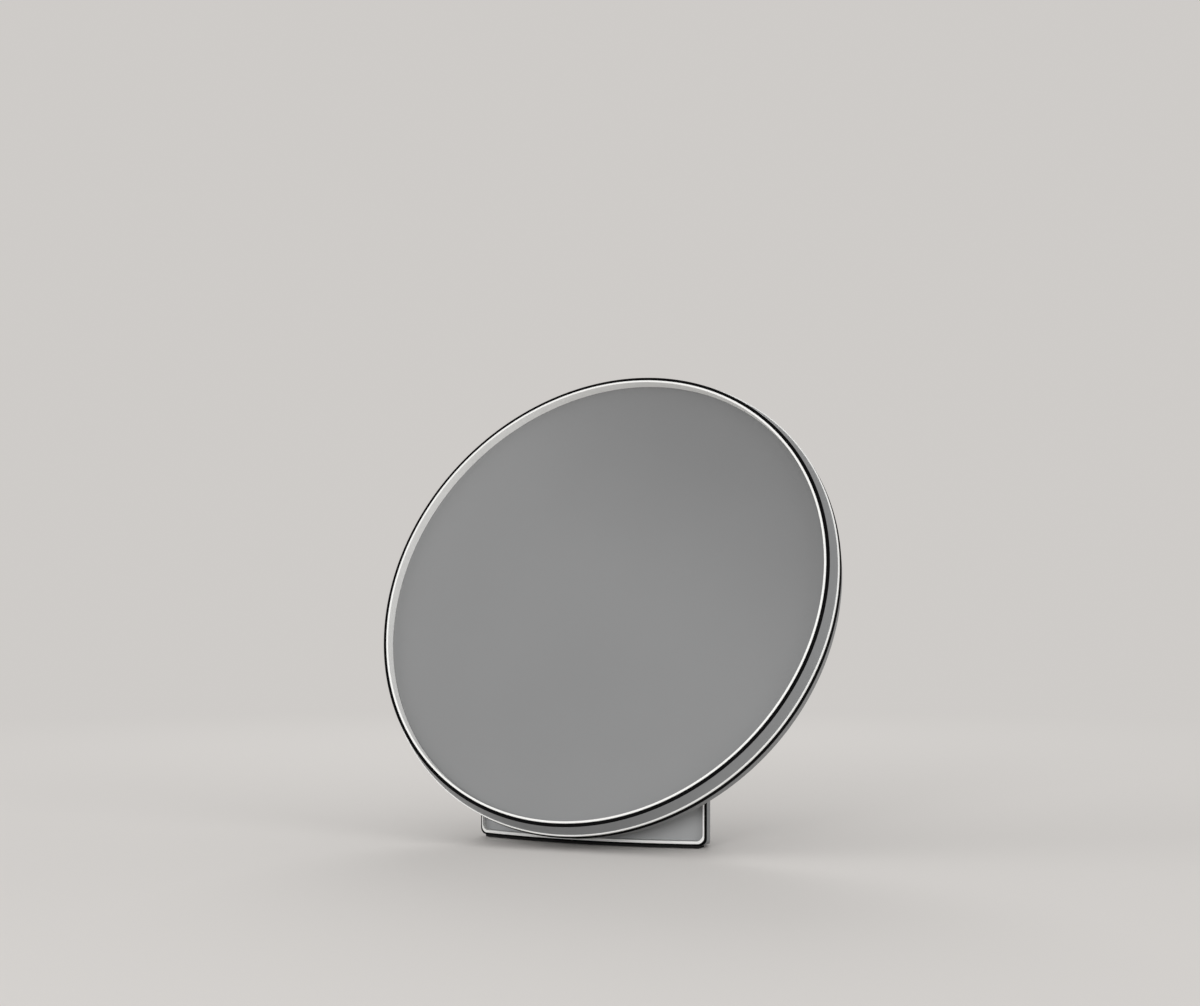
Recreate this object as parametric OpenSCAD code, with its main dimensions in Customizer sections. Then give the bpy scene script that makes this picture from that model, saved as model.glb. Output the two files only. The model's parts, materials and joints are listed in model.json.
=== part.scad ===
// Round light therapy lamp: a thin disc head that leans back on a friction hinge over a weighted foot.
// The foot stands on the XY plane, +Z is up and the lit face looks towards -Y. Sizes are millimetres.

/* [Head] */
// Overall diameter of the head, over the trim ring
head_d = 225; // [205:1:245]
// Depth of the head, from the rim to the flat of the rear cover
head_t = 24; // [23:0.5:30]
// Angle at which the head leans back at rest, in degrees
lean = 23; // [20:0.5:27]
// Height of the head's lowest edge over the table
table_gap = 5.5; // [5:0.5:12]

/* [Rim] */
// Width of the white lip round the lit face
lip_w = 1; // [0.8:0.1:2]
// Depth of the lit face behind the lip
recess = 5; // [4:0.2:6]
// Radius of the rounded lip edge
lip_round = 0.3; // [0.2:0.05:0.4]
// Width of the black seal round the lip
front_seal_w = 1.4; // [0.8:0.1:2]
// Step of the seal behind the lip
front_seal_drop = 0.3; // [0.1:0.1:0.6]
// Height of the front seal
front_seal_t = 1.6; // [1:0.1:2.4]
// Step of the flank's front edge behind the lip
flank_drop = 0.9; // [0.7:0.1:1.4]
// Length of the flared flank along the head's axis
flank_len = 5.9; // [4.5:0.1:7]
// Outward flare of the flank
flank_flare = 1.7; // [1.3:0.1:2.6]
// Thickness of the trim ring
trim_t = 1; // [0.8:0.1:1.6]
// Thickness of the rear seal
rear_seal_t = 3; // [2:0.1:3.4]
// Height of the trim ring over the flank
trim_proud = 0.5; // [0.3:0.1:1]
// Step of the rear seal under the trim ring
rear_seal_step = 0.1; // [0:0.1:0.4]
// Step of the rear cover under the trim ring
cover_step = 0.5; // [0.3:0.1:1]
// Wall of the housing's sleeve outside the diffuser
sleeve_wall = 0.8; // [0.6:0.1:1]
// Width of the ledge that carries the diffuser
ledge_w = 1.5; // [1.3:0.1:2]

/* [Light engine] */
// Thickness of the diffuser panel
diffuser_t = 2.2; // [1.5:0.1:3]
// Thickness of the light guide
guide_t = 3; // [2.4:0.1:4]
// Thickness of the reflector sheet
reflector_t = 0.4; // [0.2:0.1:0.8]
// Thickness of the backing plate
plate_t = 1.2; // [0.8:0.1:2]
// Thickness of the strip that carries the LED chips
strip_t = 0.4; // [0.2:0.1:0.6]
// Length of an LED chip round the strip
chip_w = 3; // [2:0.1:4]
// Height of an LED chip, towards the light guide
chip_t = 1; // [0.6:0.1:1.4]
// Number of LED chips
chip_count = 48; // [24:4:72]

/* [Rear cover] */
// Wall of the rear cover
cover_wall = 1.8; // [1.4:0.1:2.4]
// Length of the cover's side band along the head's axis
cover_band = 5; // [4:0.5:6]
// Slope of the side band, in degrees
cover_slope = 14; // [8:1:16]
// Radius between the side band and the dome
cover_round = 4.5; // [3:0.5:6]
// Radius of the flat in the middle of the cover
flat_r = 72; // [66:1:80]
// Distance of the cover screws from the rim
screw_inset = 17.5; // [14.5:0.5:22]
// Number of cover screws
cover_screws = 6; // [4:1:8]
// Diameter of the touch key
key_d = 20; // [14:1:28]
// Height of the touch key over the head's centre
key_up = 42; // [34:1:54]
// Diameter of the power inlet's body
jack_d = 10.5; // [9:0.5:12]
// Bore of the power inlet
jack_bore = 5.6; // [5:0.1:6.4]
// Diameter of the inlet's centre pin
jack_pin_d = 2.1; // [1.6:0.1:2.5]

/* [Control board] */
// Width of the control board
board_w = 42; // [34:1:44]
// Height of the control board
board_h = 48; // [40:1:52]
// Thickness of the control board
board_t = 1.4; // [1:0.1:1.8]
// Height of the posts under the board
post_h = 1.6; // [1:0.1:2]

/* [Hinge] */
// Distance of the hinge axis up the head from its lowest edge
hinge_up = 45; // [42:0.5:52]
// Distance of the hinge axis behind the rear cover
hinge_back = 8; // [7.5:0.5:10]
// Radius of the hinge knuckles
knuckle_r = 6.3; // [5.5:0.1:6.8]
// Diameter of the hinge pin
pin_d = 5; // [4:0.1:6]
// Width of the head's knuckle
knuckle_w = 38; // [30:1:46]
// Width of each hinge cheek on the foot
cheek_w = 14; // [11:0.5:18]
// Wall of the hinge bushes
bush_wall = 1; // [0.6:0.1:1.2]
// Thickness of each friction washer
washer_t = 1; // [0.6:0.1:1.6]
// Length of the bracket's plate up the rear cover
bracket_len = 38; // [32:1:42]
// Thickness of the bracket's plate
bracket_t = 3; // [2:0.1:4]

/* [Foot] */
// Width of the foot at its front corners
foot_w = 113; // [104:1:124]
// Depth of the foot from front to back
foot_d = 62; // [58:1:72]
// Radius of the foot's curved front
front_arc_r = 180; // [140:5:260]
// Distance of the hinge axis behind the middle of the front
hinge_setback = 19; // [18:0.5:22]
// Height of the upright front in the middle
front_h = 12; // [11:0.5:13]
// Length of the upright sides behind the front corners
side_len = 5; // [3:0.5:8]
// Width of the foot at its back
back_w = 60; // [50:1:70]
// Radius of the foot's curved back
back_arc_r = 60; // [45:1:90]
// Height of the foot at its back
tail_h = 11; // [10:0.5:14]
// Radius of the front's lower corners
corner_r = 3; // [2:0.5:5]
// Wall of the foot shell
foot_wall = 2.6; // [2:0.1:3]
// Width of the black seal round the foot's front
foot_seal_w = 0.7; // [0.6:0.1:1.2]
// Height of that seal
foot_seal_t = 1.2; // [0.8:0.1:2]
// Step of that seal behind the white lip
foot_seal_drop = 0.2; // [0.1:0.1:0.5]
// Width of the white lip round the fascia
foot_lip_w = 0.6; // [0.5:0.1:1.5]
// Extra height of that lip under the fascia
foot_chin = 0.7; // [0.2:0.1:1.5]
// Depth of the fascia behind the lip
fascia_recess = 2.4; // [1:0.1:3]
// Thickness of the fascia
fascia_t = 1.2; // [1:0.1:2]
// Thickness of the white frame behind the fascia
frame_back = 0.8; // [0.6:0.1:1.4]
// Thickness of the rubber sole
sole_t = 1; // [0.8:0.1:2]
// Step of the sole inside the foot's outline
sole_inset = 0.5; // [0.2:0.1:1.5]
// Thickness of the base plate
base_t = 2.4; // [1.8:0.1:3]
// Width of the ballast plate
ballast_w = 62; // [50:1:64]
// Depth of the ballast plate
ballast_d = 30; // [26:1:32]
// Thickness of the ballast plate
ballast_t = 7; // [4:0.5:8]

/* [Fasteners and fits] */
// Shank diameter of the small screws
screw_d = 2.5; // [2:0.1:2.8]
// Head diameter of the small screws
screw_head_d = 4.6; // [4:0.1:5]
// Head height of the small screws
screw_head_t = 1.2; // [0.8:0.1:1.4]
// Clearance between moulded pieces that seat in each other
fit = 0.05; // [0.02:0.01:0.1]
// Radial running clearance of the hinge pin
running = 0.05; // [0.02:0.01:0.08]
// Clearance round a piece that drops in loosely
loose = 0.3; // [0.2:0.05:0.4]

/* [Hidden] */
$fn = 96;
// Overlap that makes cutting shapes pass clean through a face
eps = 0.5;

// Radii of the rim, from the outside inwards
rim_r = head_d / 2;
flank_r = rim_r - trim_proud;
flank_front_r = flank_r - flank_flare;
bezel_r = flank_front_r - front_seal_w - 2 * fit;
lip_in_r = bezel_r - lip_w;
diffuser_r = bezel_r - loose;
sleeve_out_r = bezel_r + fit + sleeve_wall;
sleeve_in_r = lip_in_r - ledge_w;
cover_r = rim_r - cover_step;
plate_r = sleeve_out_r - loose;
strip_r = sleeve_in_r - loose;
chip_r = strip_r - strip_t;
guide_r = chip_r - chip_t - loose;
screw_ring_r = rim_r - screw_inset;

// Depths behind the rim, from the front backwards
guide_z = recess + diffuser_t;
reflector_z = guide_z + guide_t;
plate_z = reflector_z + reflector_t;
posts_z = plate_z + plate_t;
board_z = posts_z + post_h;
board_back_z = board_z + board_t;
trim_z = flank_drop + flank_len;
rear_seal_z = trim_z + trim_t;
cover_z = rear_seal_z + rear_seal_t;
band_z = cover_z + cover_band;
floor_z = head_t - cover_wall;

// Outline of the rear cover
band_end_r = cover_r - cover_band * tan(cover_slope);
dome_run = band_end_r - cover_round - flat_r;
dome_drop = head_t - band_z - cover_round;
dome_slope = atan2(dome_drop, dome_run);

// Places of the hinge and of the head. The head's own frame has X to the right, Y up the face, Z forwards.
axis_up = hinge_up - rim_r;
axis_depth = head_t + hinge_back;
low_reach = rim_r * cos(lean) + rear_seal_z * sin(lean);
head_z = table_gap + low_reach;
axis_z = head_z + axis_up * cos(lean) - axis_depth * sin(lean);
front_y = -foot_d / 2;
back_y = foot_d / 2;
axis_y = front_y + hinge_setback;
head_y = axis_y - axis_up * sin(lean) - axis_depth * cos(lean);
cheek_x = knuckle_w / 2 + washer_t;
cheek_end_x = cheek_x + cheek_w;
bush_r = pin_d / 2 + running + bush_wall;
bush_len = 8;
// Room round the head's knuckle between the cheeks, and step of the friction washers inside the knuckle
knuckle_room = 1;
washer_step = 0.5;

// Wall round the head of a sunk screw, and room left past the tip of a screw
boss_wall = 0.8;
boss_r = screw_head_d / 2 + loose + boss_wall;
tip_room = 1;

// Hinge bracket: step of its plate inside the knuckle's ends, gap from the axis up to the plate,
// length of its bent foot, angle at which that meets the knuckle, and its screws' distance from the edges
bracket_side = 1;
bracket_lift = 3.5;
bracket_bend = 8;
bracket_meet = 37;
bracket_screw_edge = 6;
// Height of the bosses that take the bracket's screws
bracket_boss_h = 5;
bracket_w = knuckle_w - 2 * bracket_side;
bracket_low = axis_up + bracket_lift;
bracket_screw_x = bracket_w / 2 - bracket_screw_edge;
bracket_screw_ys = [bracket_low + bracket_bend + screw_head_d,
    bracket_low + bracket_len - bracket_screw_edge];

// Control board: its middle on the head, its posts' distance from the edges, and those posts' places
board_x = 43;
board_y = -16;
post_inset = 4;
board_corners = [for (sx = [-1, 1], sy = [-1, 1])
    [board_x + sx * (board_w / 2 - post_inset), board_y + sy * (board_h / 2 - post_inset)]];

// Power inlet: its place right of the board's middle and over its lower edge, and the step of its pin
jack_side = 4;
jack_over = 14;
jack_x = board_x + jack_side;
jack_y = board_y - board_h / 2 + jack_over;
jack_pin_step = 1;

// Touch key and the sensor behind it
key_t = 1;
sensor_t = 0.8;
sensor_edge = 1;
sensor_d = key_d - 2 * sensor_edge;

// Screws of the backing plate and of the rear cover: turn of the first, sink of the heads
plate_screw_r = (sleeve_in_r + sleeve_out_r) / 2;
plate_screw_count = 8;
plate_screw_d = 1.6;
plate_screw_grip = 2.4;
cover_screw_turn = 30;
screw_sink = 1.5;
ring_fall = (screw_ring_r + boss_r - flat_r) * tan(dome_slope);
boss_floor_z = head_t - cover_wall / 2 - ring_fall;
screw_seat_z = boss_floor_z - screw_sink;

// Ribbon leads: width, thickness, lap on the board, and the outer face of the one from the LED strip
lead_w = 5;
lead_t = 0.4;
lead_lap = 2;
lead_r = chip_r - 2 * fit;

// Heights of the foot, and the ridge under the hinge
shell_z = sole_t;
base_top = sole_t + base_t;
ridge_drop = 5;
ridge_half = 7;
ridge_z = axis_z - ridge_drop;
// Thickness of the roof under the cheeks over that of the other walls
roof_extra = 2.5;
roof_z = ridge_z - foot_wall - roof_extra;

// Curved front of the foot, with its layers from the face backwards
arc_steps = 180;
half_w = foot_w / 2;
front_sag = front_arc_r - sqrt(front_arc_r * front_arc_r - half_w * half_w);
corner_y = front_y + front_sag;
shell_front = foot_seal_drop + foot_seal_t + fit;
fascia_edge = foot_seal_w + fit + foot_lip_w;
fascia_back = fascia_recess + fascia_t;
frame_t = fascia_back + frame_back;
front_wall = frame_t + fit + foot_wall;
// Side wall, thick enough that the rounded lower corners stay closed
corner_share = 0.6;
side_wall = foot_wall + corner_r * corner_share;

// Base screws: places of the front pair and of the back pair from the foot's edges, and their grip
front_boss_in = 18;
front_boss_ahead = 1;
back_boss_in = 9;
back_boss_ahead = 13;
boss_front = [half_w - front_boss_in, axis_y - front_boss_ahead];
boss_back = [back_w / 2 - back_boss_in, back_y - back_boss_ahead];
base_screw_places = [for (side = [-1, 1], p = [boss_front, boss_back]) [side * p[0], p[1]]];
base_grip = 6;
ballast_gap = 1.5;
ballast_y = boss_back[1] - boss_r - ballast_gap - ballast_d / 2;
ballast_screw_xs = [-ballast_w / 4, ballast_w / 4];

// Nuts, spring washers and caps at the ends of the hinge pin
cap_t = 1.2;
nut_w = 8;
nut_t = 3;
nut_room = 1;
spring_t = 0.5;
nut_bore_r = 5;
nut_depth = nut_t + 2 * spring_t + nut_room + cap_t;

// Places children given in the head's own frame
module in_head() {
    translate([0, head_y, head_z])
        rotate([90 - lean, 0, 0])
            children();
}

// Places children round the hinge axis, which runs along X
module at_axis() {
    translate([0, axis_y, axis_z])
        children();
}

// Ring or disc turned round the head's axis from points given as [radius, depth behind the rim]
module turned(points) {
    rotate_extrude()
        polygon([for (p = points) [p[0], -p[1]]]);
}

// Flat ring of the head between two radii, from one depth to another
module head_ring(r_out, r_in, z_front, z_back) {
    turned([[r_in, z_front], [r_out, z_front], [r_out, z_back], [r_in, z_back]]);
}

// Round disc of the head, at a place on its face, from one depth to another
module head_disc(x, y, r, z_front, z_back) {
    translate([x, y, -z_back])
        cylinder(r = r, h = z_back - z_front);
}

// Repeats children round the head's axis
module round_head(count, start = 0) {
    for (i = [0 : count - 1])
        rotate(start + i * 360 / count)
            children();
}

// Profile in the YZ plane, run along X between two places
module along_x(x0, x1) {
    translate([x0, 0, 0])
        rotate([90, 0, 90])
            linear_extrude(x1 - x0)
                children();
}

// Profile in the XZ plane, run along Y between two places
module along_y(y0, y1) {
    translate([0, y1, 0])
        rotate([90, 0, 0])
            linear_extrude(y1 - y0)
                children();
}

// Round bar along X between two places
module x_bar(r, x0, x1) {
    translate([x0, 0, 0])
        rotate([0, 90, 0])
            cylinder(r = r, h = x1 - x0);
}

// Screw that enters towards the front of the head: its head lies behind depth z, its tip at depth tip
module head_screw(x, y, z, tip, d, head_d, head_t) {
    head_disc(x, y, d / 2, tip, z);
    head_disc(x, y, head_d / 2, z, z + head_t);
}

// Quarter arc between two angles, for turned outlines
function arc_points(cx, cz, r, a0, a1, steps = 6) =
    [for (i = [0 : steps]) let (a = a0 + (a1 - a0) * i / steps) [cx + r * cos(a), cz + r * sin(a)]];

// Outline of the rear cover, pulled in by the wall for its inside
function cover_outline(inset) = concat(
    [[cover_r - inset, cover_z]],
    arc_points(band_end_r - cover_round, band_z, cover_round - inset, 0, 90 - dome_slope),
    [[flat_r, head_t - inset], [0, head_t - inset]]);

module diffuser_panel() {
    color([0.55, 0.56, 0.57])
        in_head()
            head_disc(0, 0, diffuser_r, recess, guide_z);
}

module front_bezel() {
    color([0.94, 0.94, 0.93])
        in_head()
            turned(concat(
                [[lip_in_r, recess]],
                arc_points(lip_in_r + lip_round, lip_round, lip_round, 180, 270),
                arc_points(bezel_r - lip_round, lip_round, lip_round, 270, 360),
                [[bezel_r, recess]]));
}

module front_seal() {
    color([0.06, 0.06, 0.06])
        in_head()
            head_ring(flank_front_r - fit, bezel_r + fit, front_seal_drop, front_seal_drop + front_seal_t);
}

// Flared flank, the step that carries the front seal and the sleeve that carries the light engine
module housing_ring() {
    seat_z = front_seal_drop + front_seal_t;
    color([0.58, 0.59, 0.60])
        in_head()
            difference() {
                turned([[bezel_r + fit, guide_z], [bezel_r + fit, seat_z], [flank_front_r, seat_z],
                    [flank_front_r, flank_drop], [flank_r, trim_z], [sleeve_out_r, trim_z],
                    [sleeve_out_r, plate_z], [sleeve_in_r, plate_z], [sleeve_in_r, guide_z]]);
                round_head(plate_screw_count)
                    head_disc(plate_screw_r, 0, plate_screw_d / 2 + fit, plate_z - plate_screw_grip - fit,
                        plate_z + eps);
            }
}

module trim_ring() {
    color([0.92, 0.92, 0.91])
        in_head()
            head_ring(rim_r, sleeve_out_r + fit, trim_z, rear_seal_z);
}

module rear_seal() {
    color([0.06, 0.06, 0.06])
        in_head()
            head_ring(rim_r - rear_seal_step, sleeve_out_r + fit, rear_seal_z, cover_z);
}

// Domed shell with a flat middle, screw bosses, the key's pocket and the inlet's hole
module rear_cover() {
    outside = cover_outline(0);
    inside = cover_outline(cover_wall);
    color([0.62, 0.63, 0.64])
        in_head()
            difference() {
                union() {
                    turned(concat(outside, [[0, floor_z]],
                        [for (i = [len(inside) - 2 : -1 : 0]) inside[i]]));
                    round_head(cover_screws, cover_screw_turn)
                        head_disc(screw_ring_r, 0, boss_r, posts_z, boss_floor_z);
                    for (x = [-bracket_screw_x, bracket_screw_x], y = bracket_screw_ys)
                        head_disc(x, y, boss_r, floor_z - bracket_boss_h, floor_z + eps);
                }
                round_head(cover_screws, cover_screw_turn) {
                    head_disc(screw_ring_r, 0, screw_d / 2 + loose, 0, head_t + eps);
                    head_disc(screw_ring_r, 0, screw_head_d / 2 + loose, screw_seat_z, head_t + eps);
                }
                for (x = [-bracket_screw_x, bracket_screw_x], y = bracket_screw_ys)
                    head_disc(x, y, screw_d / 2 + fit, floor_z - bracket_boss_h - eps, head_t + eps);
                head_disc(0, key_up, key_d / 2 + fit, head_t - key_t, head_t + eps);
                head_disc(jack_x, jack_y, jack_d / 2 + loose, floor_z - eps, head_t + eps);
            }
}

module light_guide() {
    color([0.80, 0.86, 0.88])
        in_head()
            head_disc(0, 0, guide_r, guide_z, reflector_z);
}

module reflector_sheet() {
    color([0.97, 0.97, 0.97])
        in_head()
            difference() {
                head_disc(0, 0, chip_r - fit, reflector_z, plate_z);
                lead_slot(reflector_z, plate_z);
            }
}

module led_strip() {
    color([0.85, 0.80, 0.55])
        in_head()
            head_ring(strip_r, chip_r, guide_z, reflector_z);
}

module led_chips() {
    margin = 0.4;
    color([0.98, 0.93, 0.60])
        in_head()
            round_head(chip_count, 180 / chip_count)
                intersection() {
                    head_ring(chip_r, chip_r - chip_t, guide_z + margin, reflector_z - margin);
                    translate([0, -chip_w / 2, -plate_z])
                        cube([rim_r, chip_w, plate_z]);
                }
}

module backing_plate() {
    color([0.78, 0.79, 0.80])
        in_head()
            difference() {
                head_disc(0, 0, plate_r, plate_z, posts_z);
                round_head(plate_screw_count)
                    head_disc(plate_screw_r, 0, plate_screw_d / 2 + fit, plate_z - eps, posts_z + eps);
                round_head(cover_screws, cover_screw_turn)
                    head_disc(screw_ring_r, 0, screw_d / 2 + fit, plate_z - eps, posts_z + eps);
                for (p = board_corners)
                    head_disc(p[0], p[1], screw_d / 2 + fit, plate_z - eps, posts_z + eps);
                lead_slot(plate_z, posts_z);
            }
}

// Slot that lets the LED lead pass through a sheet between two depths
module lead_slot(z_front, z_back) {
    translate([lead_r - lead_t - loose, -lead_w / 2 - loose, -z_back - eps])
        cube([lead_t + 2 * loose + eps, lead_w + 2 * loose, z_back - z_front + 2 * eps]);
}

module plate_screws() {
    color([0.70, 0.70, 0.72])
        in_head()
            round_head(plate_screw_count)
                head_screw(plate_screw_r, 0, posts_z, plate_z - plate_screw_grip, plate_screw_d,
                    2 * plate_screw_d, plate_screw_d / 2);
}

module cover_screws_set() {
    color([0.30, 0.30, 0.32])
        in_head()
            round_head(cover_screws, cover_screw_turn)
                head_screw(screw_ring_r, 0, screw_seat_z, plate_z, screw_d, screw_head_d, screw_head_t);
}

module board_posts() {
    color([0.85, 0.85, 0.85])
        in_head()
            difference() {
                for (p = board_corners)
                    head_disc(p[0], p[1], screw_d, posts_z, board_z);
                for (p = board_corners)
                    head_disc(p[0], p[1], screw_d / 2 + fit, posts_z - eps, board_z + eps);
            }
}

module control_board() {
    color([0.10, 0.40, 0.25])
        in_head()
            difference() {
                translate([board_x - board_w / 2, board_y - board_h / 2, -board_back_z])
                    cube([board_w, board_h, board_t]);
                for (p = board_corners)
                    head_disc(p[0], p[1], screw_d / 2 + fit, board_z - eps, board_back_z + eps);
            }
}

// Choke, capacitors and driver chip on the back of the control board
module board_parts() {
    part_top = 3.4;
    choke_d = 9;
    capacitor_d = 5;
    capacitor_pitch = 6;
    driver_l = 7;
    driver_w = 5;
    gap = 2;
    color([0.15, 0.15, 0.17])
        in_head()
            translate([board_x, board_y, -board_back_z]) {
                translate([-choke_d - gap, gap, -part_top])
                    cylinder(d = choke_d, h = part_top);
                for (i = [0 : 2])
                    translate([i * capacitor_pitch - gap, choke_d + 2 * gap, -part_top])
                        cylinder(d = capacitor_d, h = part_top);
                translate([gap, gap, -part_top / 2])
                    cube([driver_l, driver_w, part_top / 2]);
            }
}

module board_screws() {
    color([0.70, 0.70, 0.72])
        in_head()
            for (p = board_corners)
                head_screw(p[0], p[1], board_back_z, plate_z, screw_d, screw_head_d, screw_head_t);
}

module inlet_housing() {
    color([0.08, 0.08, 0.08])
        in_head()
            difference() {
                head_disc(jack_x, jack_y, jack_d / 2, board_back_z, head_t);
                head_disc(jack_x, jack_y, jack_bore / 2, board_back_z + cover_wall, head_t + eps);
            }
}

module inlet_pin() {
    color([0.80, 0.78, 0.70])
        in_head()
            head_disc(jack_x, jack_y, jack_pin_d / 2, board_back_z + cover_wall, head_t - jack_pin_step);
}

module touch_key() {
    color([0.90, 0.90, 0.90])
        in_head()
            head_disc(0, key_up, key_d / 2, head_t - key_t, head_t);
}

module touch_sensor() {
    color([0.75, 0.50, 0.25])
        in_head()
            head_disc(0, key_up, sensor_d / 2, floor_z - sensor_t, floor_z);
}

// Ribbon from the sensor's front face down to the back of the control board
module sensor_lead() {
    lead_x = board_corners[0][0] + screw_head_d / 2 + loose;
    sensor_front = floor_z - sensor_t;
    board_top = board_y + board_h / 2 - lead_lap / 2;
    color([0.90, 0.60, 0.20])
        in_head() {
            translate([0, key_up - lead_w / 2, -sensor_front])
                cube([lead_x + lead_w, lead_w, lead_t]);
            along_x(lead_x, lead_x + lead_w)
                polygon([[key_up - lead_w / 2, -sensor_front], [board_top, -board_back_z - lead_t],
                    [board_top - lead_lap, -board_back_z - lead_t], [board_top - lead_lap, -board_back_z],
                    [board_top + lead_t, -board_back_z], [key_up - lead_w / 2, -sensor_front + lead_t]]);
        }
}

// Ribbon from the LED strip through the backing plate to the front of the control board
module led_lead() {
    board_edge = board_x + board_w / 2 - lead_lap;
    color([0.90, 0.60, 0.20])
        in_head() {
            translate([lead_r - lead_t, -lead_w / 2, -posts_z - lead_t])
                cube([lead_t, lead_w, posts_z + lead_t - guide_z - chip_t]);
            translate([board_edge, -lead_w / 2, -posts_z - lead_t])
                cube([lead_r - board_edge, lead_w, lead_t]);
            translate([board_edge, -lead_w / 2, -board_z])
                cube([lead_t, lead_w, post_h]);
        }
}

// Plate on the rear cover with one wide knuckle for the hinge pin
module hinge_bracket() {
    color([0.50, 0.51, 0.52])
        in_head()
            difference() {
                union() {
                    along_x(-bracket_w / 2, bracket_w / 2)
                        polygon([[bracket_low, -head_t], [bracket_low + bracket_len, -head_t],
                            [bracket_low + bracket_len, -head_t - bracket_t],
                            [bracket_low + bracket_bend, -head_t - bracket_t],
                            [axis_up + knuckle_r * cos(bracket_meet),
                                -axis_depth - knuckle_r * sin(bracket_meet)],
                            [axis_up, -axis_depth]]);
                    translate([0, axis_up, -axis_depth])
                        x_bar(knuckle_r, -knuckle_w / 2, knuckle_w / 2);
                }
                translate([0, axis_up, -axis_depth]) {
                    x_bar(bush_r + fit, -knuckle_w / 2 - eps, -knuckle_w / 2 + bush_len);
                    x_bar(bush_r + fit, knuckle_w / 2 - bush_len, knuckle_w / 2 + eps);
                    x_bar(pin_d / 2 + loose, -knuckle_w / 2, knuckle_w / 2);
                }
                for (x = [-bracket_screw_x, bracket_screw_x], y = bracket_screw_ys)
                    head_disc(x, y, screw_d / 2 + fit, head_t - eps, head_t + bracket_t + eps);
            }
}

module bracket_screws() {
    color([0.30, 0.30, 0.32])
        in_head()
            for (x = [-bracket_screw_x, bracket_screw_x], y = bracket_screw_ys)
                head_screw(x, y, head_t + bracket_t, floor_z - bracket_boss_h + screw_head_t, screw_d,
                    screw_head_d, screw_head_t);
}

module hinge_bushes() {
    color([0.72, 0.55, 0.30])
        at_axis()
            for (side = [-1, 1])
                on_side(side)
                    difference() {
                        x_bar(bush_r, knuckle_w / 2 - bush_len, knuckle_w / 2);
                        x_bar(pin_d / 2 + running, knuckle_w / 2 - bush_len - eps, knuckle_w / 2 + eps);
                    }
}

// Children as they are, or mirrored to the left side
module on_side(side) {
    mirror([side < 0 ? 1 : 0, 0, 0])
        children();
}

// Plan of the foot, pulled in by a wall: a curved front, short upright sides, tapered flanks, a round back
module foot_plan(inset, front_inset) {
    run = back_y - corner_y - side_len;
    taper = atan2(half_w - back_w / 2, run);
    slant = inset / cos(taper);
    intersection() {
        translate([0, front_y + front_arc_r])
            circle(r = front_arc_r - front_inset, $fn = arc_steps);
        translate([0, back_y - back_arc_r])
            circle(r = back_arc_r - inset, $fn = arc_steps);
        polygon([[-half_w + inset, front_y - eps], [half_w - inset, front_y - eps],
            [half_w - inset, corner_y + side_len], [back_w / 2 - slant, back_y],
            [-back_w / 2 + slant, back_y], [-half_w + inset, corner_y + side_len]]);
    }
}

// Side view of the foot's body: an upright front, a slope to the ridge under the hinge, a long tail
module foot_side() {
    polygon([[front_y - eps, shell_z], [front_y - eps, front_h], [front_y, front_h],
        [axis_y - ridge_half, ridge_z], [axis_y + ridge_half, ridge_z], [back_y, tail_h],
        [back_y, shell_z]]);
}

// Front view of the foot: a plain panel with rounded lower corners
module foot_front(inset, low) {
    r = corner_r;
    w = foot_w - 2 * inset;
    translate([-w / 2 + r, low])
        square([w - 2 * r, axis_z - low]);
    translate([-w / 2, low + r])
        square([w, axis_z - low - r]);
    for (side = [-1, 1])
        translate([side * (w / 2 - r), low + r])
            circle(r = r);
}

// Band that follows the curved front, from one depth behind its face to another
module front_band(from, to) {
    linear_extrude(axis_z)
        intersection() {
            difference() {
                translate([0, front_y + front_arc_r])
                    circle(r = front_arc_r - from, $fn = arc_steps);
                translate([0, front_y + front_arc_r])
                    circle(r = front_arc_r - to, $fn = arc_steps);
            }
            translate([-half_w - eps, front_y - eps])
                square([foot_w + 2 * eps, foot_d / 2]);
        }
}

// Foot's body before it is hollowed, pulled in by an edge as its front view shows it, and by a chin below
module foot_solid(edge, chin = 0) {
    intersection() {
        linear_extrude(axis_z)
            foot_plan(0, 0);
        along_x(-half_w, half_w)
            translate([0, -edge])
                foot_side();
        along_y(front_y - eps, back_y + eps)
            foot_front(edge, shell_z + edge + chin);
    }
}

// Layer of the foot's curved front, pulled in by an edge, from one depth behind its face to another
module front_layer(edge, from, to, chin = 0) {
    intersection() {
        foot_solid(edge, chin);
        front_band(from, to);
    }
}

module foot_shell() {
    color([0.60, 0.61, 0.62])
        difference() {
            union() {
                difference() {
                    foot_solid(0);
                    front_band(-eps, shell_front);
                    front_layer(foot_seal_w, -eps, frame_t + fit);
                    foot_hollow();
                }
                for (side = [-1, 1])
                    on_side(side)
                        hinge_cheek();
                base_bosses();
            }
            at_axis() {
                x_bar(knuckle_r + knuckle_room, -cheek_x, cheek_x);
                x_bar(pin_d / 2 + fit, -cheek_end_x - eps, cheek_end_x + eps);
                for (side = [-1, 1])
                    on_side(side)
                        x_bar(nut_bore_r, cheek_end_x - nut_depth, cheek_end_x + eps);
            }
            for (p = base_screw_places)
                translate([p[0], p[1], shell_z - eps])
                    cylinder(d = screw_d + 2 * fit, h = base_t + base_grip + eps);
        }
}

// Space inside the foot shell, open below
module foot_hollow() {
    intersection() {
        translate([0, 0, shell_z - eps])
            linear_extrude(axis_z)
                foot_plan(side_wall, front_wall);
        along_x(-half_w, half_w)
            polygon([[front_y, shell_z - eps], [front_y, front_h - foot_wall],
                [axis_y - ridge_half + foot_wall, roof_z], [axis_y + ridge_half - foot_wall, roof_z],
                [back_y, tail_h - foot_wall], [back_y, shell_z - eps]]);
    }
}

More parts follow.
